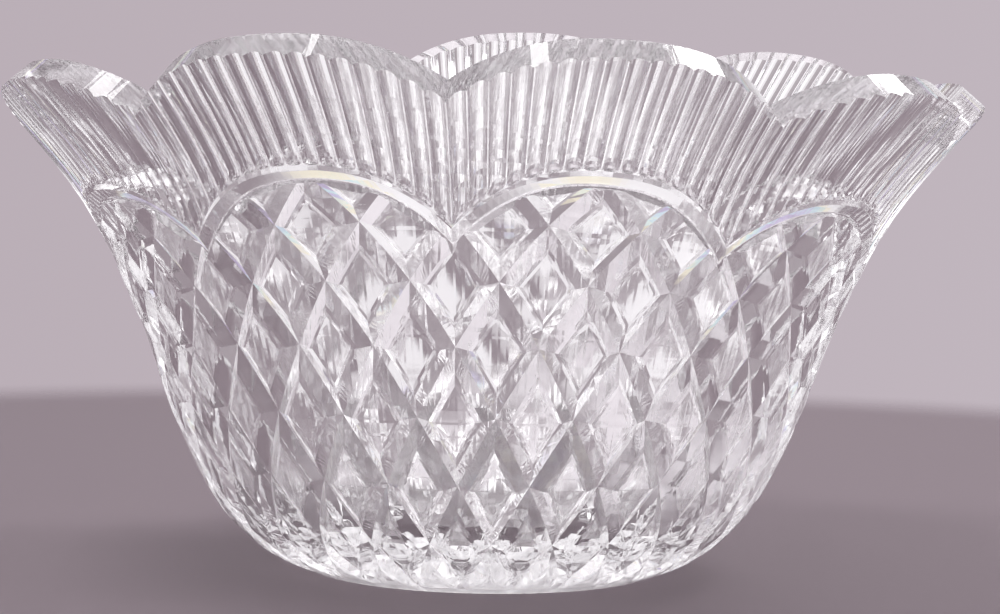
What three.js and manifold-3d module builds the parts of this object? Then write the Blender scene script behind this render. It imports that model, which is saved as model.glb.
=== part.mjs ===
// A cut crystal bowl, blown and pressed as one thick piece of clear glass: a ground flat foot, a
// round body cut with a lattice of crossing mitre grooves, a polished ribbon groove that runs round
// the body in arcs, and above it a flared wall of upright flutes that ends in a scalloped rim.
// Millimetres, +Z up. The origin is the centre of the foot, on the table. Angles go round +Z from
// -Y, where two lobes of the rim meet.
import * as THREE from 'three';
import { mergeVertices } from 'three/addons/utils/BufferGeometryUtils.js';
import Module from 'manifold-3d';

// Outer outline, each station as its radius and its height above the table
const footRadius = 49;
const chineRadius = 62.5;
const chineHeight = 6;
const heelRadius = 76;
const heelHeight = 19.3;
const bellyRadius = 88;
const bellyHeight = 43.5;
const waistRadius = 98;
const waistHeight = 74;
const neckRadius = 113.5;
const neckHeight = 108;
const rimRadius = 140;
const rimHeight = 139.8;

// Glass thickness
const wall = 8.5;
const floorThickness = 13;
const floorInset = 3;        // the flat of the floor ends this far inside the foot's edge

// Lobes of the rim, and the sway that lifts two opposite sides of it and lowers the other two
const lobes = 9;
const scallopDepth = 12.3;   // drop of the rim between two lobes
const scallopRoundness = 2.3;
const rimSway = 6.5;
const swayStart = 25;        // height where the sway begins

// Flutes of the flared wall
const flutesPerLobe = 17;
const fluteDepth = 1.5;
const fluteRunOut = 2.6;     // a flute reaches its full depth over this height
const fluteBand = 34.8;      // from the ribbon's lowest points up to the lowest points of the rim

// Ribbon groove in arcs, one arc to a lobe
const arcRise = 16;
const ribbonWidth = 4.4;
const ribbonDepth = 1.5;
const ribbonMargin = 1.3;    // plain glass between the ribbon and the flutes

// Lattice of mitre grooves
const stepsPerLobe = 3;
const rowSpacing = 14;       // between the two topmost rows of crossings, along the wall
const rowGrowth = 1.3;       // each row further down is this much taller than the one above
const mitreWidth = 8.4;
const mitreDepth = 2.5;
const mitreFade = 7;         // the grooves run out over this height above the foot

// Fineness of the faceted model
const outlineSteps = 160;
const cavitySteps = 8;
const cavitySides = 63;
const arcSteps = 10;
const apart = 0.0019;        // turn, in radians, that keeps the cuts' facets out of step with the arcs'

const swayTop = 0.8 * rimHeight;
const rimValley = rimHeight - scallopDepth;
const arcValley = rimValley - fluteBand;
const arcCrest = arcValley + arcRise;
const outside = 4;           // the cutters reach this far out of the glass
const overrun = 14;          // the blank runs on this far past the rim before it is trimmed
const underrun = 24;         // and this far below the table

const wasm = await Module();
wasm.setup();

// The outline as evenly spaced points of [radius, height], from below the table to past the rim
function makeOutline() {
  const stations = [
    [footRadius, 0], [chineRadius, chineHeight], [heelRadius, heelHeight], [bellyRadius, bellyHeight],
    [waistRadius, waistHeight], [neckRadius, neckHeight], [rimRadius, rimHeight],
  ];
  const curve = new THREE.SplineCurve(stations.map(([r, z]) => new THREE.Vector2(r, z)));
  const points = curve.getSpacedPoints(outlineSteps).map((p) => [p.x, p.y]);
  const [before, last] = points.slice(-2);
  const stretch = overrun / Math.hypot(last[0] - before[0], last[1] - before[1]);
  points.push([last[0] + (last[0] - before[0]) * stretch, last[1] + (last[1] - before[1]) * stretch]);
  points.unshift([footRadius * 0.8, -underrun]);
  return points;
}

const outline = makeOutline();
const lengths = [0];
for (let i = 1; i < outline.length; i++) {
  const [a, b] = [outline[i - 1], outline[i]];
  lengths.push(lengths[i - 1] + Math.hypot(b[0] - a[0], b[1] - a[1]));
}

// A point of the outline with its outward normal, found by height or by length along the outline
function outlineAt(value, key) {
  let i = 1;
  while (i < outline.length - 1 && key(i) < value) i++;
  const [a, b] = [outline[i - 1], outline[i]];
  const t = (value - key(i - 1)) / (key(i) - key(i - 1));
  const span = Math.hypot(b[0] - a[0], b[1] - a[1]);
  return {
    r: a[0] + (b[0] - a[0]) * t,
    z: a[1] + (b[1] - a[1]) * t,
    nr: (b[1] - a[1]) / span,
    nz: -(b[0] - a[0]) / span,
    length: lengths[i - 1] + (lengths[i] - lengths[i - 1]) * t,
  };
}
const atHeight = (z) => outlineAt(z, (i) => outline[i][1]);
const atLength = (s) => outlineAt(s, (i) => lengths[i]);

// Moves an outline point out of the glass (or into it, where out is negative)
const offset = (p, out) => [p.r + p.nr * out, p.z + p.nz * out];

const place = (angle, [r, z]) => [r * Math.sin(angle), -r * Math.cos(angle), z];

function solidOf(vertices, triangles) {
  let volume = 0;
  for (const [a, b, c] of triangles) {
    const [p, q, s] = [vertices[a], vertices[b], vertices[c]];
    volume += p[0] * (q[1] * s[2] - q[2] * s[1]) - p[1] * (q[0] * s[2] - q[2] * s[0])
      + p[2] * (q[0] * s[1] - q[1] * s[0]);
  }
  const faces = volume > 0 ? triangles : triangles.map(([a, b, c]) => [a, c, b]);
  return new wasm.Manifold(new wasm.Mesh({
    numProp: 3,
    vertProperties: new Float32Array(vertices.flat()),
    triVerts: new Uint32Array(faces.flat()),
  }));
}

function solidOfGeometry(geometry) {
  geometry.deleteAttribute('normal');
  geometry.deleteAttribute('uv');
  const merged = mergeVertices(geometry, 1e-5);
  const position = merged.getAttribute('position');
  const vertices = Array.from({ length: position.count }, (_, i) => (
    [position.getX(i), position.getY(i), position.getZ(i)]));
  const index = merged.getIndex().array;
  const triangles = [];
  for (let i = 0; i < index.length; i += 3) {
    const [a, b, c] = index.slice(i, i + 3);
    if (a !== b && b !== c && c !== a) triangles.push([a, b, c]);
  }
  return solidOf(vertices, triangles);
}

// A solid turned about +Z from a half outline of [radius, height] points that starts and ends on
// the axis
function turned(points, sides) {
  const profile = points.map(([r, z]) => new THREE.Vector2(r, z));
  const lathe = new THREE.LatheGeometry(profile, sides, (2 * Math.PI * 0.37) / sides);
  return solidOfGeometry(lathe.rotateX(Math.PI / 2));
}

// A solid between rings of points, from the lowest ring to the highest, each end closed on the axis
function stacked(rings) {
  const count = rings[0].length;
  const vertices = rings.flat();
  const triangles = [];
  for (let j = 0; j + 1 < rings.length; j++) {
    for (let i = 0; i < count; i++) {
      const [a, b] = [j * count + i, j * count + (i + 1) % count];
      triangles.push([a, b, b + count], [a, b + count, a + count]);
    }
  }
  const mean = (ring) => ring.reduce((sum, p) => sum + p[2], 0) / count;
  const [low, high] = [vertices.length, vertices.length + 1];
  vertices.push([0, 0, mean(rings[0])], [0, 0, mean(rings[rings.length - 1])]);
  const top = (rings.length - 1) * count;
  for (let i = 0; i < count; i++) {
    triangles.push([low, (i + 1) % count, i], [high, top + i, top + (i + 1) % count]);
  }
  return solidOf(vertices, triangles);
}

// A closed hoop: the same section of [radius, height] points at each angle round the bowl
function hoop(sectionAt, steps) {
  const vertices = [];
  for (let i = 0; i < steps; i++) {
    const angle = (i / steps) * 2 * Math.PI;
    vertices.push(...sectionAt(angle).map((p) => place(angle, p)));
  }
  const size = vertices.length / steps;
  const triangles = [];
  for (let i = 0; i < steps; i++) {
    for (let j = 0; j < size; j++) {
      const k = (j + 1) % size;
      const [a, b] = [i * size, ((i + 1) % steps) * size];
      triangles.push([a + j, b + j, b + k], [a + j, b + k, a + k]);
    }
  }
  return solidOf(vertices, triangles);
}

// Height of an arc over its lobe, 0 where two lobes meet and 1 at the lobe's middle
function arch(angle) {
  const turn = (angle / (2 * Math.PI)) * lobes;
  return 1 - Math.abs(2 * (turn - Math.floor(turn)) - 1) ** scallopRoundness;
}
const arcAt = (angle) => arcValley + arcRise * arch(angle);
const rimAt = (angle) => rimValley + scallopDepth * arch(angle);

// Body with the lattice. The grooves are the whole-number lines of two slanting counts, u and v:
// half their sum counts steps round the bowl, and their difference counts rows down from the
// arcs' tops, where crossings lie at whole rows. The mesh follows those lines.
function makeLattice() {
  const steps = lobes * stepsPerLobe;
  const stepAngle = (2 * Math.PI) / steps;
  const top = atHeight(arcCrest).length;
  const cell = stepAngle * bellyRadius;
  const across = (cell * 2 * rowSpacing) / (2 * Math.hypot(cell / 2, rowSpacing));
  const half = Math.min(0.4, mitreWidth / 2 / across);
  const marks = [0, half, 1 - half];
  const count = steps * marks.length;
  const mark = (i) => Math.floor(i / marks.length) + marks[i % marks.length];
  const down = (row) => rowSpacing * (row + 1) + (rowGrowth * (row + 1) * row) / 2;
  const first = -2 * marks.length;
  const rowsBelow = Math.ceil((Math.sqrt(rowSpacing ** 2 + 2 * rowGrowth * top) - rowSpacing) / rowGrowth);
  const last = rowsBelow * marks.length;

  const cut = (line) => Math.max(0, 1 - Math.abs(line - Math.round(line)) / half);
  const point = (i, m) => {
    const [u, v] = [mark(i), mark(i + m - first) + first / marks.length];
    const p = atLength(top - down(v - u));
    const fade = THREE.MathUtils.smoothstep(p.z, 1, 1 + mitreFade);
    const angle = ((u + v) / 2) * stepAngle + apart;
    return place(angle, offset(p, -mitreDepth * fade * Math.max(cut(u), cut(v))));
  };
  const vertices = [];
  for (let m = first; m <= last; m++) {
    for (let i = 0; i < count; i++) vertices.push(point(i, m));
  }
  const at = (i, m) => (m - first) * count + (((i % count) + count) % count);
  const triangles = [];
  for (let m = first; m <= last; m++) {
    for (let i = 0; i < count; i++) {
      const [near, side, far, down1] = [at(i, m), at(i + 1, m - 1), at(i + 1, m), at(i, m + 1)];
      const [a, b] = [i % marks.length, (i + m - first) % marks.length];
      const alongRow = (a === 0 && b === 0) || (a === 2 && b === 2) || m === first || m === last;
      if (alongRow) {
        if (m > first) triangles.push([near, far, side]);
        if (m < last) triangles.push([near, down1, far]);
      } else {
        triangles.push([near, down1, side], [down1, far, side]);
      }
    }
  }
  const [high, low] = [vertices.length, vertices.length + 1];
  vertices.push([0, 0, vertices[at(0, first)][2]], [0, 0, vertices[at(0, last)][2]]);
  for (let i = 0; i < count; i++) {
    triangles.push([high, at(i, first), at(i + 1, first)], [low, at(i + 1, last), at(i, last)]);
  }
  return solidOf(vertices, triangles);
}

// Body with the flutes, which begin just above the ribbon and run on past the rim
function makeFluted() {
  const columns = lobes * flutesPerLobe * 2;
  const ring = (heightAt, depth) => Array.from({ length: columns }, (_, i) => {
    const angle = (i / columns) * 2 * Math.PI + apart;
    return place(angle, offset(atHeight(heightAt(angle)), i % 2 ? -depth : 0));
  });
  const start = (angle) => arcAt(angle) + ribbonWidth / 2 + ribbonMargin;
  const end = (angle) => rimAt(angle) + overrun / 2;
  const share = (t) => (angle) => THREE.MathUtils.lerp(start(angle) + fluteRunOut, end(angle), t);
  return stacked([
    ring(() => arcValley - ribbonWidth * 2, 0),
    ring(start, 0),
    ring(share(0), fluteDepth),
    ring(share(0.5), fluteDepth),
    ring(share(1), fluteDepth),
  ]);
}

// Everything below the arcs, or below a line lowered from them
function makeBelowArcs(drop) {
  const steps = lobes * arcSteps;
  const ring = (r, heightAt) => Array.from({ length: steps }, (_, i) => {
    const angle = (i / steps) * 2 * Math.PI - apart;
    return place(angle, [r, heightAt(angle)]);
  });
  const far = rimRadius * 2;
  const lineAt = (angle) => arcAt(angle) - drop;
  return stacked([
    ring(far, () => -2 * underrun), ring(far, lineAt), ring(waistRadius / 2, lineAt),
  ]);
}

// The ribbon's cutter: a flat-bottomed groove of even width, mitred where two arcs meet
function makeRibbon() {
  const across = (angle) => {
    const step = Math.PI / lobes / 40;
    const rise = Math.abs(arcAt(angle + step) - arcAt(angle - step));
    const side = Math.max(rise, Math.abs(arcAt(angle + 2 * step) - arcAt(angle)));
    return Math.hypot(1, side / (2 * step * atHeight(arcAt(angle)).r)) * (ribbonWidth / 2);
  };
  return hoop((angle) => {
    const [z, half] = [arcAt(angle), across(angle)];
    const flare = half * (1 + (0.5 * outside) / ribbonDepth);
    return [
      offset(atHeight(z - flare), outside), offset(atHeight(z + flare), outside),
      offset(atHeight(z + half / 2), -ribbonDepth), offset(atHeight(z - half / 2), -ribbonDepth),
    ];
  }, lobes * arcSteps);
}

// What lies past the rim: its inner face is square to the wall, and leaves the flat polished edge
function makeRimTrim() {
  const reach = rimRadius;
  return hoop((angle) => {
    const p = atHeight(rimAt(angle));
    const [low, high] = [offset(p, outside), offset(p, -wall - outside)];
    const along = ([r, z]) => [r - p.nz * reach, z + p.nr * reach];
    return [low, high, along(high), along(low)];
  }, lobes * arcSteps);
}

// The hollow: the outline moved in by the wall, with a flat floor and a rounded turn into it
function makeCavity() {
  const turn = atHeight(heelHeight);
  const [r0, z0] = offset(turn, -wall);
  const floorRadius = footRadius - floorInset;
  const bend = new THREE.QuadraticBezierCurve(
    new THREE.Vector2(floorRadius, floorThickness),
    new THREE.Vector2(THREE.MathUtils.lerp(floorRadius, r0, 0.7), floorThickness),
    new THREE.Vector2(r0, z0),
  );
  const points = [[0, floorThickness], ...bend.getPoints(2).map((p) => [p.x, p.y])];
  const end = lengths[lengths.length - 1];
  for (let i = 1; i <= cavitySteps; i++) {
    points.push(offset(atLength(THREE.MathUtils.lerp(turn.length, end, i / cavitySteps)), -wall));
  }
  const [, topHeight] = points[points.length - 1];
  return turned([...points, [0, topHeight]].reverse(), cavitySides);
}

function makeBowl() {
  const table = turned([[0, 0], [rimRadius, 0], [rimRadius, -3 * underrun], [0, -3 * underrun]], cavitySides);
  const overlap = ribbonWidth / 4;
  const bowl = makeLattice().intersect(makeBelowArcs(0))
    .add(makeFluted().subtract(makeBelowArcs(overlap)))
    .subtract(makeRibbon())
    .subtract(makeRimTrim())
    .subtract(makeCavity())
    .subtract(table);
  const mesh = bowl.getMesh();
  const positions = new Float32Array((mesh.vertProperties.length / mesh.numProp) * 3);
  for (let i = 0; i < positions.length / 3; i++) {
    const [x, y, z] = mesh.vertProperties.slice(i * mesh.numProp, i * mesh.numProp + 3);
    const lift = Math.sin((Math.PI / 2) * THREE.MathUtils.clamp((z - swayStart) / (swayTop - swayStart), 0, 1)) ** 2;
    const round = x * x + y * y;
    const sway = round > 1e-6 ? (y * y - x * x) / round : 0;
    positions.set([x, y, z + rimSway * lift * sway], i * 3);
  }
  const geometry = new THREE.BufferGeometry();
  geometry.setAttribute('position', new THREE.BufferAttribute(positions, 3));
  geometry.setIndex(Array.from(mesh.triVerts));
  geometry.computeVertexNormals();
  return geometry;
}

const crystal = new THREE.MeshStandardMaterial({
  color: 0xe6e4ea, roughness: 0.03, metalness: 0, transparent: true, opacity: 0.35, flatShading: true,
});

const bowl = new THREE.Mesh(makeBowl(), crystal);
bowl.name = 'bowl';

const group = new THREE.Group();
group.add(bowl);

export default group;
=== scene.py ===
"""A cut crystal bowl on a studio table.

The bowl is one piece of clear glass. A geometry node tree shapes it from its sizes: a body with a
lattice of mitre grooves, a wall of hollow flutes, a ribbon groove in arcs, a trimmed and polished
rim and a smooth hollow. All sizes are in metres, and the bowl stands on z = 0 with the meeting
point of two lobes towards -Y.
"""

import math

import bpy
from bpy.props import FloatProperty, FloatVectorProperty, IntProperty, PointerProperty
from mathutils import Matrix, Vector


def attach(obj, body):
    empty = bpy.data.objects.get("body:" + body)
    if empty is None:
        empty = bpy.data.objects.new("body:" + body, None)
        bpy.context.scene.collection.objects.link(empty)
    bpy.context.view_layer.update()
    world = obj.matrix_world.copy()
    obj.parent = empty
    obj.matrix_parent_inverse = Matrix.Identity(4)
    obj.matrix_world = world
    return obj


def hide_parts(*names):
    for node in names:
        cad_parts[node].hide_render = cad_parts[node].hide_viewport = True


bl_info = {
    "name": "Crystal Bowl",
    "version": (1, 0, 0),
    "blender": (4, 5, 0),
    "location": "3D View > Sidebar > Bowl",
    "description": "Shapes a cut crystal bowl and sets it in a plain studio",
    "category": "Object",
}

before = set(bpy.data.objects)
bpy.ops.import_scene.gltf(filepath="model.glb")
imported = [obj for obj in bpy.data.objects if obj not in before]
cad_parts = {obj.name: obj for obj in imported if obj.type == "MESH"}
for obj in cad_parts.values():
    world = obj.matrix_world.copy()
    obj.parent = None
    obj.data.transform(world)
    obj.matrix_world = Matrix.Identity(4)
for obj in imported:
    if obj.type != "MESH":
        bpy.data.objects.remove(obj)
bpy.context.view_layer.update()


# Sizes and looks that a user would change

def length(name, description, default):
    """A size in metres."""
    return FloatProperty(
        name=name, description=description, default=default, precision=5, unit="LENGTH")


def paint(name, description, default):
    """A colour."""
    return FloatVectorProperty(
        name=name, description=description, default=default, min=0.0, max=1.0, size=3,
        subtype="COLOR")


class BowlSizes(bpy.types.PropertyGroup):
    """Sizes of the bowl's outline, rim and cuts"""

    foot_radius: length("Foot radius", "Radius of the flat ground foot", 0.049)
    chine_radius: length("Chine radius", "Outer radius just above the foot", 0.0625)
    chine_height: length("Chine height", "Height of the chine radius", 0.006)
    heel_radius: length("Heel radius", "Outer radius where the body turns upright", 0.076)
    heel_height: length("Heel height", "Height of the heel radius", 0.0193)
    belly_radius: length("Belly radius", "Outer radius at the middle of the lattice", 0.088)
    belly_height: length("Belly height", "Height of the belly radius", 0.0435)
    waist_radius: length("Waist radius", "Outer radius above the belly", 0.098)
    waist_height: length("Waist height", "Height of the waist radius", 0.074)
    neck_radius: length("Neck radius", "Outer radius where the wall begins to flare", 0.1135)
    neck_height: length("Neck height", "Height of the neck radius", 0.108)
    rim_radius: length("Rim radius", "Outer radius at the top of a lobe", 0.1397)
    rim_height: length("Rim height", "Height of a lobe's outer edge, without the sway", 0.1398)
    wall: length("Wall", "Thickness of the glass wall", 0.0085)
    floor_thickness: length("Floor thickness", "Thickness of the glass above the table", 0.013)
    floor_inset: length("Floor inset", "How far inside the foot's edge the flat floor ends", 0.003)
    lobes: IntProperty(name="Lobes", description="Number of lobes round the rim", default=9, min=3)
    scallop_depth: length("Scallop depth", "Drop of the rim between two lobes", 0.0123)
    scallop_roundness: FloatProperty(
        name="Scallop roundness", description="Fullness of the lobes' curve", default=2.3)
    rim_sway: length(
        "Rim sway", "Rise of the front and back of the rim and fall of its sides", 0.0065)
    sway_start: length("Sway start", "Height where the sway begins", 0.025)
    flutes_per_lobe: IntProperty(
        name="Flutes per lobe", description="Number of flutes cut in each lobe", default=17, min=3)
    flute_depth: length("Flute depth", "Depth of a flute between its two ridges", 0.0015)
    flute_run_out: length(
        "Flute run-out", "Height over which a flute's rounded end deepens", 0.0026)
    flute_band: length("Flute band", "Height of the fluted wall between two lobes", 0.0348)
    arc_rise: length("Arc rise", "Rise of the ribbon groove's arcs", 0.016)
    ribbon_width: length("Ribbon width", "Width of the ribbon groove", 0.0044)
    ribbon_depth: length("Ribbon depth", "Depth of the ribbon groove", 0.0015)
    ribbon_margin: length("Ribbon margin", "Plain glass between the ribbon and the flutes", 0.0013)
    steps_per_lobe: IntProperty(
        name="Crossings per lobe", description="Crossings of the lattice in each lobe", default=3,
        min=1)
    row_spacing: length("Row spacing", "Height between the two topmost rows of crossings", 0.014)
    row_growth: length("Row growth", "How much taller each row below is", 0.0013)
    mitre_depth: length("Mitre depth", "Depth of the lattice's grooves", 0.0025)
    mitre_fade: length("Mitre fade", "Height over which the grooves run out at the foot", 0.007)


class StudioLook(bpy.types.PropertyGroup):
    """Colours, table and camera of the studio"""

    table_colour: paint("Table", "Colour of the table", (0.262, 0.215, 0.240))
    # The backdrop's two colours paint the light's falloff: the left side is painted in shade,
    # darker than the right.
    wall_left: paint(
        "Backdrop left", "Colour of the backdrop's left side, as it is seen", (0.479, 0.413, 0.456))
    wall_right: paint(
        "Backdrop right", "Colour of the backdrop's right side, as it is seen",
        (0.565, 0.503, 0.552))
    table_reach: length(
        "Table reach", "Distance from the bowl's middle to where the table ends", 0.54)
    camera_distance: length("Camera distance", "Distance from the bowl's middle to the camera", 1.0)
    camera_height: length("Camera height", "Height of the camera above the table", 0.1508)
    camera_azimuth: FloatProperty(
        name="Camera azimuth", description="Turn of the camera round the bowl, from -Y towards +X",
        default=math.radians(5.0), subtype="ANGLE")
    camera_roll: FloatProperty(
        name="Camera roll", description="Turn of the picture about the line of sight",
        default=math.radians(1.0), subtype="ANGLE")


# Node formulas

# Sockets that have to be found by number
OBJECT_COORDINATES = 3      # output of Texture Coordinate
MIX_INPUTS = (0, 6, 7)      # inputs of Mix: the share, and the colours at 0 and at 1
MIXED_COLOUR = 2            # output of Mix
GROUP_TOTAL = 2             # output of Accumulate Field

SAME_POINT = 1e-6           # points closer than this are merged


class Value:
    """A number or vector in a node tree. Arithmetic on it adds the nodes for the sum."""

    def __init__(self, tree, socket):
        self.tree, self.socket = tree, socket

    def maths(self, operation, *others):
        """The result of that operation on it and the others."""
        node = self.tree.nodes.new("ShaderNodeMath")
        node.operation = operation
        for socket, value in zip(node.inputs, (self, *others)):
            wire(self.tree, value, socket)
        return Value(self.tree, node.outputs[0])

    def __add__(self, other):
        return self.maths("ADD", other)

    __radd__ = __add__

    def __sub__(self, other):
        return self.maths("SUBTRACT", other)

    def __rsub__(self, other):
        return self.maths("MULTIPLY_ADD", -1.0, other)

    def __mul__(self, other):
        return self.maths("MULTIPLY", other)

    __rmul__ = __mul__

    def __truediv__(self, other):
        return self.maths("DIVIDE", other)

    def __neg__(self):
        return self.maths("MULTIPLY", -1.0)

    def power(self, other):
        return self.maths("POWER", other)

    def abs(self):
        return self.maths("ABSOLUTE")

    def round(self):
        return self.maths("ROUND")

    def fraction(self):
        return self.maths("FRACT")

    def sin(self):
        return self.maths("SINE")

    def cos(self):
        return self.maths("COSINE")

    def sqrt(self):
        return self.maths("SQRT")

    def at_most(self, other):
        return self.maths("MINIMUM", other)

    def at_least(self, other):
        return self.maths("MAXIMUM", other)

    def parts(self):
        """A vector's three numbers."""
        node = self.tree.nodes.new("ShaderNodeSeparateXYZ")
        wire(self.tree, self, node.inputs[0])
        return [Value(self.tree, socket) for socket in node.outputs]


def wire(tree, value, socket):
    """Feeds a socket from a Value or a list of them, or sets it to a plain value."""
    if isinstance(value, Value):
        tree.links.new(value.socket, socket)
    elif isinstance(value, list):
        for item in value:
            tree.links.new(item.socket, socket)
    else:
        socket.default_value = value


class Workshop:
    """Adds nodes to a tree."""

    def __init__(self, tree):
        self.tree = tree

    def node(self, kind, inputs=None, output=0, **settings):
        """A node with its settings and inputs, by name or number, and one of its outputs."""
        node = self.tree.nodes.new(kind)
        for key, value in settings.items():
            setattr(node, key, value)
        for key, value in (inputs or {}).items():
            wire(self.tree, value, node.inputs[key])
        return Value(self.tree, node.outputs[output])

    def vector(self, x, y, z):
        return self.node("ShaderNodeCombineXYZ", {0: x, 1: y, 2: z})

    def pick(self, index, items, kind="FLOAT"):
        """The item of that index."""
        node = self.tree.nodes.new("GeometryNodeIndexSwitch")
        node.data_type = kind
        while len(node.index_switch_items) < len(items):
            node.index_switch_items.new()
        wire(self.tree, index, node.inputs[0])
        for i, item in enumerate(items):
            wire(self.tree, item, node.inputs[1 + i])
        return Value(self.tree, node.outputs[0])

    def smooth(self, value, low, high):
        """0 below low, 1 above high, and a soft slope between them."""
        return self.node(
            "ShaderNodeMapRange", {"Value": value, "From Min": low, "From Max": high},
            interpolation_type="SMOOTHSTEP")

    def blend(self, share, low, high):
        """A colour between two. A fixed one is given as a tuple of three numbers."""
        node = self.tree.nodes.new("ShaderNodeMix")
        node.data_type = "RGBA"
        for socket, value in zip(MIX_INPUTS, (share, low, high)):
            value = (*value, 1.0) if isinstance(value, tuple) else value
            wire(self.tree, value, node.inputs[socket])
        return Value(self.tree, node.outputs[MIXED_COLOUR])

    def ray(self, kind):
        """1 for rays of that kind."""
        node = self.tree.nodes.new("ShaderNodeLightPath")
        return Value(self.tree, node.outputs[kind])

    def along(self, index, values, last):
        """Whole turns of a list that an index has counted through, and the value it is at, also
        halfway between two of them. last follows the list's end."""
        doubled = []
        for value, following in zip(values, (*values[1:], last)):
            doubled += [value, (value + following) / 2]
        turns = (index / len(values)).maths("FLOOR")
        return turns, self.pick(((index - turns * len(values)) * 2.0).round(), doubled)

    def moved(self, geometry, position):
        """The geometry with its points at those places."""
        return self.node("GeometryNodeSetPosition", {"Geometry": geometry, "Position": position})

    def position(self):
        return self.node("GeometryNodeInputPosition")

    def cut(self, operation, *geometries):
        """Joins the geometries, keeps what they share, or takes the later ones from the first."""
        node = self.tree.nodes.new("GeometryNodeMeshBoolean")
        node.operation, node.solver = operation, "MANIFOLD"
        if operation == "DIFFERENCE":
            wire(self.tree, geometries[0], node.inputs["Mesh 1"])
            wire(self.tree, list(geometries[1:]), node.inputs["Mesh 2"])
        else:
            wire(self.tree, list(geometries), node.inputs["Mesh 2"])
        return Value(self.tree, node.outputs[0])

    def skin(self, columns, rows, place, slant=False):
        """A closed skin of columns round the bowl and rows up it. place gives each point from its
        column and row. Where slant is true, the quads are split into a diamond pattern."""
        grid = self.node("GeometryNodeMeshGrid", {
            "Size X": 1.0, "Size Y": 1.0, "Vertices X": columns + 1, "Vertices Y": rows})
        x, y, _ = self.position().parts()
        if slant:
            across = ((x + 0.5) * columns).maths("FLOOR")
            along = ((y + 0.5) * (rows - 1)).maths("FLOOR")
            odd = (across + along).maths("MODULO", 2.0)
            grid = self.node(
                "GeometryNodeTriangulate", {"Mesh": grid, "Selection": odd}, quad_method="FIXED")
            grid = self.node(
                "GeometryNodeTriangulate", {"Mesh": grid}, quad_method="FIXED_ALTERNATE")
        column = ((x + 0.5) * columns).round()
        row = ((y + 0.5) * (rows - 1)).round()
        skin = self.moved(grid, place(column, row))
        return self.merged(skin)

    def merged(self, geometry):
        """The geometry with points in one place joined."""
        return self.node(
            "GeometryNodeMergeByDistance", {"Geometry": geometry, "Distance": SAME_POINT})


# The bowl's tree

OUTLINE_STEPS = 399     # straight pieces of the outline
CURVE_STEPS = 48        # steps between two stations of the curve that it follows
OUTSIDE = 0.004         # the cutters reach this far out of the glass
OVERRUN = 0.014         # the blank runs on this far past the rim before it is trimmed
TRIM_REACH = 0.1        # how far the rim's cutter goes on past the rim
CUTTER_BASE = -0.05     # lowest height of the body's cutter
TABLE_BASE = -0.06      # lowest height of what is cut off below the table
TABLE_SIDES = 60        # facets round it
APART = 0.0007          # turn that keeps the cuts' facets out of step with the arcs'
HOLLOW_APART = 2.3 * APART      # the same for the hollow
ARC_STEPS = 44          # facets along an arc
ARC_SLOPE_STEPS = 40    # an arc's slope is measured over half a lobe divided by this
RIBBON_FLARE = 1.5      # half widths to which the ribbon's cutter opens outside the glass
SEAM_OVERLAP = 0.25     # how far the wall reaches down into the body, in ribbon widths
SWAY_FULL = 0.8         # share of the rim's height at which the sway is full
NOT_ZERO = 1e-9         # keeps the sway's division whole on the bowl's axis
SPLINTER = 50.0         # an island of fewer points than this is left over from a cut
CREASE = math.radians(25)       # an edge that turns more than this is sharp

# Rows of the lattice, the top ones of which lie above its first crossings. Those that would lie
# more than FOOT_MARGIN below the foot are gathered at the depth SUNK.
LATTICE_ROWS, ROWS_ABOVE = 11, 2
FOOT_MARGIN, SUNK = 0.001, 0.009
GROOVE_FOOT = 0.001     # height at which the lattice's grooves have run out

# Rows of points over a flute's rounded end and along the rest of it, as shares of each
FLUTE_END_ROWS = (0.0, 0.04, 0.16, 0.36, 0.64, 1.0)
FLUTE_ROWS = (0.15, 0.3, 0.45, 0.6, 0.75, 0.88, 1.0)

# Facets of the hollow: along each lobe, over the turn into the floor and up the wall
HOLLOW_COLUMNS, TURN_ROWS, WALL_ROWS = 28, 10, 40
TURN_CORNER = 0.7       # where the turn's corner lies, as a share from the floor's edge to the wall

# Facets across a flute, as shares of its width. A narrow land is left along each ridge.
FLUTE_LINES = (0.0, 0.035, 0.13, 0.25, 0.375, 0.5, 0.625, 0.75, 0.87, 0.965)

# Facets from one groove of the lattice to the next, and the groove's depth at each: a straight
# flank from the bottom up to a rounded shoulder, then the flat pad.
GROOVE_LINES = (0.0, 0.165, 0.21, 0.25, 0.31, 0.5, 0.69, 0.75, 0.79, 0.835)
GROOVE_DEPTHS = (1.0, 0.2, 0.055, 0.0, 0.0, 0.0, 0.0, 0.0, 0.055, 0.2)

# The ribbon from its upper edge to its lower one, in half widths, and its depth there
RIBBON_SECTION = ((1.0, 0.0), (-0.28, 0.95), (-0.42, 1.0), (-0.54, 0.88), (-1.0, 0.0))


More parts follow.
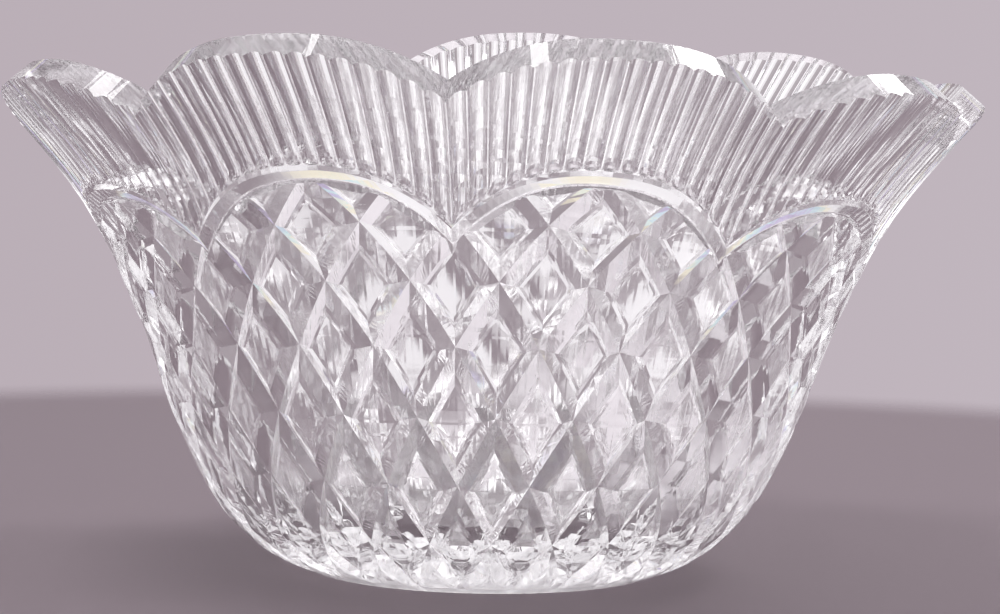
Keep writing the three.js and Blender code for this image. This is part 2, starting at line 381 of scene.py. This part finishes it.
class BowlTree(Workshop):
    """The formulas that shape the bowl."""

    def __init__(self, tree, sizes, counts):
        super().__init__(tree)
        for name, value in sizes.items():
            setattr(self, name, value)
        self.lobes, self.flutes, self.steps = counts
        self.arc_valley = self.rim_height - self.scallop_depth - self.flute_band
        self.make_outline()

    def make_outline(self):
        """The outer outline as a curve, and a copy of it laid along a plumb line, whose points
        remember where they were, so that the outline can be found by height."""
        stations = [
            (self.foot_radius, 0.0), (self.chine_radius, self.chine_height),
            (self.heel_radius, self.heel_height), (self.belly_radius, self.belly_height),
            (self.waist_radius, self.waist_height), (self.neck_radius, self.neck_height),
            (self.rim_radius, self.rim_height)]
        line = self.node("GeometryNodeMeshLine", {"Count": len(stations)})
        index = self.node("GeometryNodeInputIndex")
        points = [self.vector(r, 0.0, z) for r, z in stations]
        line = self.moved(line, self.pick(index, points, "VECTOR"))
        curve = self.node("GeometryNodeMeshToCurve", {0: line})
        curve = self.node("GeometryNodeCurveSplineType", {0: curve}, spline_type="CATMULL_ROM")
        curve = self.node(
            "GeometryNodeSetSplineResolution", {0: curve, "Resolution": CURVE_STEPS})
        self.curve = self.node(
            "GeometryNodeResampleCurve", {0: curve, "Count": OUTLINE_STEPS + 1})
        self.curve_length = self.node("GeometryNodeCurveLength", {0: self.curve})
        plumb, tangent = self.curve, self.node("GeometryNodeInputTangent")
        for name, value in (("spot", self.position()), ("way", tangent)):
            plumb = self.node(
                "GeometryNodeStoreNamedAttribute",
                {"Geometry": plumb, "Name": name, "Value": value},
                data_type="FLOAT_VECTOR", domain="POINT")
        self.plumb = self.moved(plumb, self.vector(0.0, 0.0, self.position().parts()[2]))

    def station(self, spot, way, beyond):
        """Radius, height and outward normal of an outline point, run on straight past an end."""
        (r, _, z), (dr, _, dz) = spot.parts(), way.parts()
        span = (dr * dr + dz * dz).sqrt()
        dr, dz = dr / span, dz / span
        stretch = beyond(dz)
        return r + dr * stretch, z + dz * stretch, dz, -dr

    def at_height(self, height):
        """The outline's station at that height."""
        inside = height.at_least(0.0).at_most(self.rim_height)

        def sample(name):
            value = self.node(
                "GeometryNodeInputNamedAttribute", {"Name": name}, data_type="FLOAT_VECTOR")
            return self.node(
                "GeometryNodeSampleCurve", {"Curves": self.plumb, "Value": value, "Length": inside},
                mode="LENGTH", data_type="FLOAT_VECTOR")

        return self.station(sample("spot"), sample("way"), lambda dz: (height - inside) / dz)

    def at_length(self, distance):
        """The outline's station that far along it from the foot."""
        inside = distance.at_least(0.0).at_most(self.curve_length)
        node = self.tree.nodes.new("GeometryNodeSampleCurve")
        node.mode = "LENGTH"
        wire(self.tree, self.curve, node.inputs["Curves"])
        wire(self.tree, inside, node.inputs["Length"])
        spot, way = (Value(self.tree, node.outputs[name]) for name in ("Position", "Tangent"))
        return self.station(spot, way, lambda dz: distance - inside)

    def offset(self, station, out):
        """Radius and height of a point that far out of the glass, or into it below 0."""
        r, z, nr, nz = station
        return r + nr * out, z + nz * out

    def placed(self, angle, r, z):
        """A point at that angle round the bowl, from -Y towards +X."""
        return self.vector(r * angle.sin(), -(r * angle.cos()), z)

    def open_rows(self, row, rows):
        """1 for every row of a skin but the first and the last, which close it on the axis."""
        return 1.0 - row.maths("LESS_THAN", 0.5) - row.maths("GREATER_THAN", rows - 1.5)

    def arch(self, angle):
        """Height of an arc over its lobe, 0 where two lobes meet and 1 at the lobe's middle."""
        turn = (angle * (self.lobes / math.tau)).fraction()
        return 1.0 - (turn * 2.0 - 1.0).abs().power(self.scallop_roundness)

    def arc_at(self, angle):
        """Height of the ribbon's middle."""
        return self.arc_valley + self.arc_rise * self.arch(angle)

    def rim_at(self, angle):
        """Height of the rim's outer edge."""
        return self.rim_height - self.scallop_depth + self.scallop_depth * self.arch(angle)

    def lattice(self):
        """Body with the lattice. Its grooves are the whole-number lines of two slanting counts:
        half their sum counts steps round the bowl, and their difference rows down it."""
        steps, lines = self.lobes * self.steps, len(GROOVE_LINES)
        rows = LATTICE_ROWS * lines
        top = self.outline_length(self.arc_valley + self.arc_rise)

        def line(index):
            turns, share = self.along(index, GROOVE_LINES, 1.0)
            return turns + share, self.along(index, GROOVE_DEPTHS, GROOVE_DEPTHS[0])[1]

        def height_along(down):
            growth = self.row_growth * (down + 1.0) * down * 0.5
            return top - self.row_spacing * (down + 1.0) - growth

        def place(column, row):
            ring = self.open_rows(row, rows)
            fall = rows - 1 - ROWS_ABOVE * lines - row
            plain = fall / lines
            sunk = height_along(plain).maths("LESS_THAN", -FOOT_MARGIN)
            u, depth_u = line((column - fall) * 0.5)
            v, depth_v = line((column + fall) * 0.5)
            around = (u + v) * 0.5 * (1.0 - sunk) + sunk * column / (2.0 * lines)
            down = plain + (v - u - plain) * ring
            station = self.at_length(height_along(down) * (1.0 - sunk) - sunk * SUNK)
            fade = self.smooth(station[1], GROOVE_FOOT, self.mitre_fade + GROOVE_FOOT)
            depth = self.mitre_depth * fade * depth_u.at_least(depth_v) * ring
            r, z = self.offset(station, -depth)
            return self.placed(around * (math.tau / steps) + APART, r * ring, z)

        return self.skin(steps * 2 * lines, rows, place, slant=True)

    def outline_length(self, height):
        """Length of the outline from the foot up to that height. Its points are evenly spaced."""
        so_far = self.node("GeometryNodeInputIndex") * (self.curve_length / OUTLINE_STEPS)
        return self.node(
            "GeometryNodeSampleCurve",
            {"Curves": self.plumb, "Value": so_far, "Length": height},
            mode="LENGTH", data_type="FLOAT")

    def fluted(self):
        """Body with the flutes. Each begins in a rounded end just above the ribbon, as a wheel
        leaves it, and runs on past the rim."""
        flutes = self.lobes * self.flutes
        rows = 3 + len(FLUTE_END_ROWS) + len(FLUTE_ROWS)

        def place(column, row):
            turns, share = self.along(column, FLUTE_LINES, 1.0)
            angle = (turns + share) * (math.tau / flutes) + APART
            across = (share * 2.0 - 1.0) / (1.0 - 2.0 * FLUTE_LINES[1])
            start = self.arc_at(angle) + self.ribbon_width * 0.5 + self.ribbon_margin
            end = self.rim_at(angle) + OVERRUN * 0.5
            full = start + self.flute_run_out
            low = self.arc_valley - self.ribbon_width * 2.0
            heights = [
                low, low, *[start + self.flute_run_out * t for t in FLUTE_END_ROWS],
                *[full + (end - full) * t for t in FLUTE_ROWS], self.rim_height + OVERRUN]
            depths = [
                0.0, 0.0, *[math.sqrt(1.0 - (1.0 - t) ** 2) for t in FLUTE_END_ROWS],
                *[1.0] * len(FLUTE_ROWS), 0.0]
            depth = self.flute_depth * (self.pick(row, depths) - across * across)
            r, z = self.offset(self.at_height(self.pick(row, heights)), -(depth.at_least(0.0)))
            return self.placed(angle, r * self.open_rows(row, rows), z)

        return self.skin(flutes * len(FLUTE_LINES), rows, place)

    def below_arcs(self, drop):
        """Everything below the arcs, or below a line lowered from them."""
        columns = self.lobes * ARC_STEPS

        def place(column, row):
            angle = column * (math.tau / columns) - APART
            line = self.arc_at(angle) - drop
            far = self.rim_radius * 2.0
            r = self.pick(row, [0.0, far, far, self.waist_radius * 0.5, 0.0])
            z = self.pick(row, [CUTTER_BASE, CUTTER_BASE, line, line, self.arc_valley])
            return self.placed(angle, r, z)

        return self.skin(columns, 5, place)

    def hoop(self, count, section):
        """A closed hoop. section gives that many points as radius and height, outer side first
        and up."""
        columns = self.lobes * ARC_STEPS

        def place(column, row):
            angle = column * (math.tau / columns)
            points = section(angle)
            radii, heights = zip(*points, points[0])
            return self.placed(angle, self.pick(row, radii), self.pick(row, heights))

        return self.skin(columns, count + 1, place)

    def ribbon(self):
        """The ribbon's cutter: a groove of even width with a broad upper flank and a steep lower
        one, mitred where two arcs meet."""
        step = math.pi / self.lobes / ARC_SLOPE_STEPS

        def section(angle):
            centre = self.arc_at(angle)
            rise = (self.arc_at(angle + step) - self.arc_at(angle - step)).abs()
            side = (self.arc_at(angle + 2 * step) - centre).abs().at_least(rise)
            slope = side / (self.at_height(centre)[0] * (2 * step))
            half = (slope * slope + 1.0).sqrt() * self.ribbon_width * 0.5
            flare = half * RIBBON_FLARE
            points = [self.offset(self.at_height(centre - flare), OUTSIDE),
                      self.offset(self.at_height(centre + flare), OUTSIDE)]
            for t, depth in RIBBON_SECTION:
                points.append(self.offset(
                    self.at_height(centre + half * t), -(self.ribbon_depth * depth)))
            return points

        return self.hoop(2 + len(RIBBON_SECTION), section)

    def rim_trim(self):
        """What lies past the rim: its lower face is square to the wall."""

        def section(angle):
            station = self.at_height(self.rim_at(angle))
            low = self.offset(station, OUTSIDE)
            high = self.offset(station, -(self.wall + OUTSIDE))
            _, _, nr, nz = station

            def past(point):
                return point[0] - nz * TRIM_REACH, point[1] + nr * TRIM_REACH

            return [low, past(low), past(high), high]

        return self.hoop(4, section)

    def hollow(self):
        """The inside: the outline moved in by the wall, with a rounded turn into the flat floor."""
        columns, rows = self.lobes * HOLLOW_COLUMNS, TURN_ROWS + WALL_ROWS + 3
        start = self.outline_length(self.heel_height)

        def place(column, row):
            angle = column * (math.tau / columns) + HOLLOW_APART
            r0, z0 = self.offset(self.at_length(start), -self.wall)
            floor_radius = self.foot_radius - self.floor_inset
            middle = floor_radius + (r0 - floor_radius) * TURN_CORNER
            t = ((row - 1.0) / TURN_ROWS).at_least(0.0).at_most(1.0)
            left = 1.0 - t
            r = left * left * floor_radius + 2.0 * left * t * middle + t * t * r0
            z = (left * left + 2.0 * left * t) * self.floor_thickness + t * t * z0
            s = ((row - TURN_ROWS - 1.0) / WALL_ROWS).at_least(0.0).at_most(1.0)
            climb = self.offset(
                self.at_length(start + (self.curve_length + OVERRUN - start) * s), -self.wall)
            up = row.maths("GREATER_THAN", TURN_ROWS + 1.5)
            r = r + (climb[0] - r) * up
            z = z + (climb[1] - z) * up
            return self.placed(angle, r * self.open_rows(row, rows), z)

        return self.skin(columns, rows, place)

    def table_block(self):
        """What lies below the table."""
        far = self.rim_radius * 1.5

        def place(column, row):
            r = self.pick(row, [0.0, far, far, 0.0])
            z = self.pick(row, [TABLE_BASE, TABLE_BASE, 0.0, 0.0])
            return self.placed(column * (math.tau / TABLE_SIDES), r, z)

        return self.skin(TABLE_SIDES, 4, place)

    def swayed(self, geometry):
        """Lifts the front and back of the upper bowl and lowers its sides."""
        x, y, z = self.position().parts()
        top = self.rim_height * SWAY_FULL
        share = ((z - self.sway_start) / (top - self.sway_start)).at_least(0.0).at_most(1.0)
        lift = (share * (math.pi / 2)).sin()
        around = x * x + y * y
        sway = (y * y - x * x) / around.at_least(NOT_ZERO)
        return self.moved(geometry, self.vector(x, y, z + self.rim_sway * lift * lift * sway))

    def bowl(self, material):
        """The whole bowl, with its material and its sharp edges."""
        body = self.cut("INTERSECT", self.lattice(), self.below_arcs(0.0))
        overlap = self.ribbon_width * SEAM_OVERLAP
        wall = self.cut("DIFFERENCE", self.fluted(), self.below_arcs(overlap))
        bowl = self.cut("UNION", body, wall)
        for tool in (self.ribbon(), self.rim_trim(), self.hollow(), self.table_block()):
            bowl = self.cut("DIFFERENCE", bowl, tool)
        bowl = self.swayed(bowl)
        island = self.node("GeometryNodeInputMeshIsland")
        size = self.node(
            "GeometryNodeAccumulateField", {0: 1.0, 1: island}, output=GROUP_TOTAL, domain="POINT")
        bowl = self.node(
            "GeometryNodeDeleteGeometry",
            {"Geometry": bowl, "Selection": size.maths("LESS_THAN", SPLINTER)}, domain="POINT")
        bowl = self.merged(bowl)
        crease = self.node("GeometryNodeInputMeshEdgeAngle").maths("GREATER_THAN", CREASE)
        bowl = self.node(
            "GeometryNodeSetShadeSmooth",
            {"Geometry": bowl, "Selection": crease, "Shade Smooth": False}, domain="EDGE")
        bowl = self.node("GeometryNodeRealizeInstances", {0: bowl})
        return self.node("GeometryNodeSetMaterial", {"Geometry": bowl, "Material": material})


def make_tree(sizes):
    """The tree, with an input named for each length, and the inputs' identifiers by property."""
    tree = bpy.data.node_groups.new("Cut bowl", "GeometryNodeTree")
    tree.interface.new_socket("Geometry", in_out="OUTPUT", socket_type="NodeSocketGeometry")
    material = tree.interface.new_socket("Glass", in_out="INPUT", socket_type="NodeSocketMaterial")
    identifiers, names = {}, {}
    for item in sizes.bl_rna.properties:
        if item.type == "FLOAT":
            socket = tree.interface.new_socket(
                item.name, in_out="INPUT", socket_type="NodeSocketFloat")
            socket.description, socket.default_value = item.description, item.default
            identifiers[item.identifier], names[item.identifier] = socket.identifier, item.name
    entry = tree.nodes.new("NodeGroupInput")
    values = {key: Value(tree, entry.outputs[name]) for key, name in names.items()}
    shop = BowlTree(tree, values, (sizes.lobes, sizes.flutes_per_lobe, sizes.steps_per_lobe))
    result = shop.bowl(Value(tree, entry.outputs["Glass"]))
    exit_node = tree.nodes.new("NodeGroupOutput")
    tree.links.new(result.socket, exit_node.inputs[0])
    return tree, material.identifier, identifiers


# Materials

# What the glass shows of the room. A direction's x is to the right and its z up, and each pair of
# numbers is where a change begins and ends. The backdrop is bright in the middle and falls off to
# both sides. Above it come tints, thin ones first, which stand for dispersion, and the dim band.
BACKDROP_MIDDLE, BACKDROP_FALL = 0.05, (0.15, 0.38)
BACKDROP_BRIGHT, BACKDROP_DIM = (1.0, 0.97, 1.0), (0.34, 0.29, 0.32)
BANDS = (
    ((0.275, 0.30), (1.0, 0.92, 0.74)),
    ((0.30, 0.325), (0.66, 0.86, 0.92)),
    ((0.325, 0.35), (0.64, 0.54, 0.80)),
    ((0.35, 0.40), (0.27, 0.24, 0.26)))
SIDES_OUT, SIDES_UP = (0.66, 0.86), (0.06, 0.26)
CEILING_UP = (0.62, 0.78)
BRIGHT_ROOM = (1.6, 1.57, 1.6)      # the ceiling and the patch on each side

EVEN_LIGHT = (0.68, 0.66, 0.68)     # the light of the room on the table
WALL_SPREAD = (-0.5, 0.5)           # the seen backdrop goes from its left colour to its right: painted shade, darker on the left

# What the glass shows of the table: its colour under the foot, paler from there outwards, and its
# colour again past an oval, which is squeezed to the sides and stretched to the front and back.
# The paler ring is a painted pool of light, standing in for the light the bowl lets through onto
# the table.
PAINTED_GLOW_TABLE = (0.88, 0.84, 0.87)
GLOW_RING_FROM, GLOW_RING_TO = (0.07, 0.12), (0.14, 0.26)
GLOW_MIDDLE, GLOW_SQUEEZE, GLOW_STRETCH = 0.03, 1.8, 0.5
TABLE_FADE = 0.84       # share of the table's reach at which it begins to turn clear

# The soft boxes: name, place, width, height and power, and the place they are aimed at
LAMPS = (
    ("left_box", (-0.37, -0.16, 1.22), 0.34, 0.40, 3.4),
    ("right_box", (0.56, 0.56, 0.93), 0.24, 0.44, 3.3))
LAMP_AIM = (0.0, 0.0, 0.12)


def first(nodes, kind):
    """The first node of that type."""
    return next(node for node in nodes if node.type == kind)


def shader(name):
    """A new node material, its tree and its main shader."""
    material = bpy.data.materials.new(name)
    material.use_nodes = True
    tree = material.node_tree
    return material, tree, first(tree.nodes, "BSDF_PRINCIPLED")


def crystal_glass():
    """Clear lead crystal, polished, with the faint ripple that hand polishing leaves."""
    material, tree, glass = shader("Clear crystal")
    glass.inputs["Base Color"].default_value = (1.0, 0.997, 1.0, 1.0)
    glass.inputs["Roughness"].default_value = 0.06
    glass.inputs["IOR"].default_value = 1.545
    glass.inputs["Transmission Weight"].default_value = 1.0
    glass.inputs["Specular IOR Level"].default_value = 0.5
    coordinates = tree.nodes.new("ShaderNodeTexCoord")
    ripple = tree.nodes.new("ShaderNodeTexNoise")
    ripple.inputs["Scale"].default_value = 40.0
    ripple.inputs["Detail"].default_value = 0.5
    tree.links.new(coordinates.outputs["Object"], ripple.inputs["Vector"])
    bump = tree.nodes.new("ShaderNodeBump")
    bump.inputs["Strength"].default_value = 0.1
    bump.inputs["Distance"].default_value = 0.0002
    tree.links.new(ripple.outputs["Fac"], bump.inputs["Height"])
    tree.links.new(bump.outputs["Normal"], glass.inputs["Normal"])
    return material


def floor_finish(look):
    """Matt stone that turns clear towards the table's edge. What the glass shows of it is paler
    near the bowl: a painted pool of light, standing in for the light the bowl lets through onto
    the table."""
    material, tree, surface = shader("Studio floor")
    shop = Workshop(tree)
    x, y, _ = shop.node("ShaderNodeTexCoord", output=OBJECT_COORDINATES).parts()
    reach = (x * x + y * y).sqrt()
    plain = tuple(look.table_colour)
    aside, behind = (x - GLOW_MIDDLE) * GLOW_SQUEEZE, y * GLOW_STRETCH
    oval = (aside * aside + behind * behind).sqrt()
    # painted pool of light: the share of the paler, lit-looking table in a ring round the bowl
    near = shop.smooth(reach, *GLOW_RING_FROM) * (1.0 - shop.smooth(oval, *GLOW_RING_TO))
    colour = shop.blend(
        shop.ray("Is Transmission Ray"), plain, shop.blend(near, plain, PAINTED_GLOW_TABLE))
    wire(tree, colour, surface.inputs["Base Color"])
    surface.inputs["Roughness"].default_value = 0.8
    surface.inputs["Specular IOR Level"].default_value = 0.15
    clear = tree.nodes.new("ShaderNodeBsdfTransparent")
    blend = tree.nodes.new("ShaderNodeMixShader")
    fade = shop.smooth(reach, look.table_reach * TABLE_FADE, look.table_reach)
    wire(tree, fade, blend.inputs[0])
    tree.links.new(surface.outputs[0], blend.inputs[1])
    tree.links.new(clear.outputs[0], blend.inputs[2])
    tree.links.new(blend.outputs[0], first(tree.nodes, "OUTPUT_MATERIAL").inputs["Surface"])
    return material


# Pieces

class OBJECT_OT_crystal_bowl(bpy.types.Operator):
    """Shape the bowl from its sizes and give it its glass"""

    bl_idname = "object.crystal_bowl"
    bl_label = "Bowl"

    def execute(self, context):
        sizes = context.scene.bowl_sizes
        tree, glass_input, identifiers = make_tree(sizes)
        blank = bpy.data.objects.new("bowl_blank", bpy.data.meshes.new("bowl_blank"))
        context.scene.collection.objects.link(blank)
        modifier = blank.modifiers.new("Cuts", "NODES")
        modifier.node_group = tree
        modifier[glass_input] = crystal_glass()
        for key, identifier in identifiers.items():
            modifier[identifier] = getattr(sizes, key)
        ready = blank.evaluated_get(context.evaluated_depsgraph_get())
        mesh = bpy.data.meshes.new_from_object(ready)
        if not mesh.polygons:
            raise RuntimeError("the bowl's tree made no faces")
        mesh.name = "crystal_bowl"
        blank.modifiers.remove(modifier)
        bpy.data.objects.remove(blank)
        bowl = bpy.data.objects.new("crystal_bowl", mesh)
        context.scene.collection.objects.link(bowl)
        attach(bowl, "root")
        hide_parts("bowl")
        return {"FINISHED"}


class OBJECT_OT_crystal_bowl_stage(bpy.types.Operator):
    """Set up the table, the backdrop, the lamps and the camera"""

    bl_idname = "object.crystal_bowl_stage"
    bl_label = "Stage"

    def execute(self, context):
        look = context.scene.studio_look
        self.make_floor(context, look)
        self.make_world(context, look)
        self.make_lamps(context)
        self.make_camera(context, look)
        context.scene.view_settings.view_transform = "Standard"
        context.scene.cycles.max_bounces = 32
        context.scene.cycles.transmission_bounces = 32
        context.scene.cycles.glossy_bounces = 16
        context.scene.cycles.sample_clamp_indirect = 3.0
        return {"FINISHED"}

    def make_floor(self, context, look):
        """A round table top that melts into the backdrop at its edge."""
        sides, reach, gap = 96, look.table_reach * 1.1, 0.0002
        angles = [math.tau * i / sides for i in range(sides)]
        points = [(reach * math.cos(angle), reach * math.sin(angle), -gap) for angle in angles]
        mesh = bpy.data.meshes.new("studio_floor")
        mesh.from_pydata(points, [], [tuple(range(sides))])
        mesh.materials.append(floor_finish(look))
        floor = bpy.data.objects.new("studio_floor", mesh)
        context.scene.collection.objects.link(floor)

    def make_world(self, context, look):
        """A plain even light on the table. What the glass shows is a room: a bright backdrop, a dim
        band above it, a bright ceiling and a bright patch on each side. What the camera sees past
        the table is the backdrop alone, with painted shade that makes its left side darker than its
        right."""
        world = bpy.data.worlds.new("Studio")
        context.scene.world = world
        world.use_nodes = True
        shop = Workshop(world.node_tree)
        x, _, z = shop.node("ShaderNodeTexCoord").parts()
        fall = shop.smooth((x - BACKDROP_MIDDLE).abs(), *BACKDROP_FALL)
        room = shop.blend(fall, BACKDROP_BRIGHT, BACKDROP_DIM)
        for heights, tint in BANDS:
            room = shop.blend(shop.smooth(z, *heights), room, tint)
        side = shop.smooth(x.abs(), *SIDES_OUT) * shop.smooth(z, *SIDES_UP)
        bright = shop.smooth(z, *CEILING_UP).at_least(side)
        room = shop.blend(bright, room, BRIGHT_ROOM)
        glass = shop.ray("Is Glossy Ray").at_least(shop.ray("Is Transmission Ray"))
        colour = shop.blend(glass, EVEN_LIGHT, room)
        # the backdrop as the camera sees it: painted shade, darker on the left and paler on the
        # right
        wall = shop.blend(
            shop.smooth(x, *WALL_SPREAD), tuple(look.wall_left), tuple(look.wall_right))
        colour = shop.blend(shop.ray("Is Camera Ray"), colour, wall)
        wire(world.node_tree, colour, first(world.node_tree.nodes, "BACKGROUND").inputs["Color"])

    def make_lamps(self, context):
        """Soft boxes whose light glints on the rim. They show on the bowl, but not through it."""
        for name, place, width, height, power in LAMPS:
            data = bpy.data.lights.new(name, "AREA")
            data.shape, data.size, data.size_y, data.energy = "RECTANGLE", width, height, power
            lamp = bpy.data.objects.new(name, data)
            context.scene.collection.objects.link(lamp)
            lamp.location = place
            aim = Vector(LAMP_AIM) - Vector(place)
            lamp.rotation_euler = aim.to_track_quat("-Z", "Y").to_euler()
            lamp.visible_camera = lamp.visible_transmission = False

    def make_camera(self, context, look):
        """The camera stands level with the rim, tilted down a little, so that the horizon lies
        near the top of the picture and the bowl fills its width.

        In pixels: the picture's width, the focal length, and how far left of the picture's middle
        and above it the bowl's axis is seen at the camera's height."""
        pixels, focus = 1000.0, 3546.0
        left, above = 8.0, 272.0
        azimuth, roll = look.camera_azimuth, look.camera_roll
        side = left * math.cos(roll) + above * math.sin(roll)
        rise = above * math.cos(roll) - left * math.sin(roll)
        heading = azimuth - math.atan2(side, focus)
        pitch = math.atan2(rise, focus)
        level = Vector((-math.sin(heading), math.cos(heading), 0.0))
        right = Vector((math.cos(heading), math.sin(heading), 0.0))
        ahead = level * math.cos(pitch) - Vector((0.0, 0.0, math.sin(pitch)))
        above_axis = right.cross(ahead)
        right, up = (right * math.cos(roll) + above_axis * math.sin(roll),
                     above_axis * math.cos(roll) - right * math.sin(roll))
        data = bpy.data.cameras.new("camera")
        data.sensor_width = 36.0
        data.lens = focus * data.sensor_width / pixels
        data.clip_start, data.clip_end = 0.01, 20.0
        camera = bpy.data.objects.new("camera", data)
        context.scene.collection.objects.link(camera)
        place = Vector((look.camera_distance * math.sin(azimuth),
                        -look.camera_distance * math.cos(azimuth), look.camera_height))
        turn = Matrix((right, up, -ahead)).transposed().to_4x4()
        camera.matrix_world = Matrix.Translation(place) @ turn
        context.scene.camera = camera


class VIEW3D_PT_crystal_bowl(bpy.types.Panel):
    """Lists the bowl's pieces and their sizes"""

    bl_label = "Crystal Bowl"
    bl_idname = "VIEW3D_PT_crystal_bowl"
    bl_space_type = "VIEW_3D"
    bl_region_type = "UI"
    bl_category = "Bowl"

    def draw(self, context):
        for operator, settings in (
                (OBJECT_OT_crystal_bowl, context.scene.bowl_sizes),
                (OBJECT_OT_crystal_bowl_stage, context.scene.studio_look)):
            box = self.layout.box()
            box.operator(operator.bl_idname)
            for item in settings.bl_rna.properties:
                if item.identifier not in {"rna_type", "name"}:
                    box.prop(settings, item.identifier)


CLASSES = (
    BowlSizes, StudioLook, OBJECT_OT_crystal_bowl, OBJECT_OT_crystal_bowl_stage,
    VIEW3D_PT_crystal_bowl)


def register():
    for cls in CLASSES:
        bpy.utils.register_class(cls)
    bpy.types.Scene.bowl_sizes = PointerProperty(type=BowlSizes)
    bpy.types.Scene.studio_look = PointerProperty(type=StudioLook)


def unregister():
    del bpy.types.Scene.studio_look
    del bpy.types.Scene.bowl_sizes
    for cls in reversed(CLASSES):
        bpy.utils.unregister_class(cls)


def main():
    register()
    bpy.ops.object.crystal_bowl()
    bpy.ops.object.crystal_bowl_stage()


if __name__ == "__main__":
    main()
